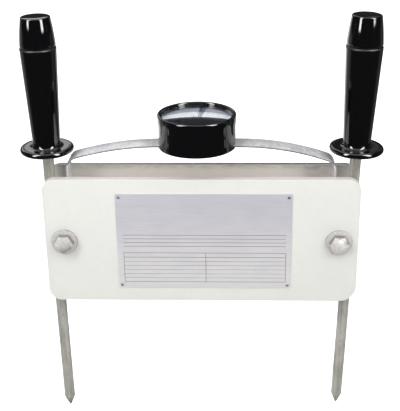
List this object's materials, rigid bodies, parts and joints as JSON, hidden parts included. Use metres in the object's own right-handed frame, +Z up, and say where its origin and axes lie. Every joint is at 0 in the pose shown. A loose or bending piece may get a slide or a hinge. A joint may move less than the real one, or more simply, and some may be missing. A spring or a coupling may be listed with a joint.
{
  "type": "battery load tester",
  "caption": "Hand-held battery load tester: insulating boards around a folded load strip, swivelling steel prods with black handles, and a round meter on a bent strip.",
  "frame": {"origin": "midway between the two prods, in the middle of the gap between the boards, level with the lower prod point", "axes": "+X to the right seen from the label side, +Y to the back, +Z up along the handles"},
  "size_m": [0.3015, 0.065, 0.3656],
  "materials": {
    "board": "off-white painted, matt",
    "label": "silvery, satin",
    "rivet": "dull, dark",
    "bolt": "bright zinc plate",
    "strip": "zinc plate, mottled",
    "spacer": "zinc plate",
    "load": "heat-darkened",
    "prod": "dull zinc plate",
    "handle": "glossy black",
    "case": "glossy black",
    "brass": "plain",
    "iron": "machined",
    "resistor": "varnished",
    "coil": "enamelled copper",
    "dial": "white, satin",
    "pointer": "black, matt",
    "mask": "glossy black",
    "glass": "clear"
  },
  "bodies": {
    "frame": {"front_board": "board", "back_board": "board", "label_plate": "label", "label_rivets": "rivet", "clamp_bolts": "bolt", "front_washers": "bolt", "back_washers": "bolt", "clamp_nuts": "bolt", "front_spacers": "spacer", "back_spacers": "spacer", "load_strip": "load", "meter_strip_left": "strip", "meter_strip_right": "strip", "meter_case": "case", "terminal_studs": "brass", "terminal_washers": "bolt", "terminal_nuts": "brass", "magnet_yoke": "iron", "core_magnet": "iron", "lower_bridge": "brass", "upper_bridge": "brass", "series_resistor": "resistor", "hairspring": "brass", "dial_plate": "dial", "dial_mask": "mask", "dial_ring": "mask", "meter_glass": "glass", "glass_ring": "mask"},
    "left_prod": {"prod_left": "prod", "grip_left": "handle", "cap_left": "handle", "handle_washer_left": "bolt", "handle_nut_left": "bolt"},
    "right_prod": {"prod_right": "prod", "grip_right": "handle", "cap_right": "handle", "handle_washer_right": "bolt", "handle_nut_right": "bolt"},
    "pointer": {"needle": "pointer", "spindle": "rivet", "moving_coil": "coil"}
  },
  "joints": [
    {"name": "left_prod_swing", "type": "hinge", "parent": "frame", "child": "left_prod", "pos_m": [-0.1155, 0, 0.1777], "axis": [0, -1, 0], "range_deg": [-2, 15]},
    {"name": "right_prod_swing", "type": "hinge", "parent": "frame", "child": "right_prod", "pos_m": [0.1155, 0, 0.1777], "axis": [0, 1, 0], "range_deg": [-2, 15]},
    {"name": "pointer_turn", "type": "hinge", "parent": "frame", "child": "pointer", "pos_m": [-0.003, -0.018, 0.2621], "axis": [0, 0, 1], "range_deg": [-51.5, 38.5], "stiffness_Nm_per_rad": 0.0002}
  ]
}
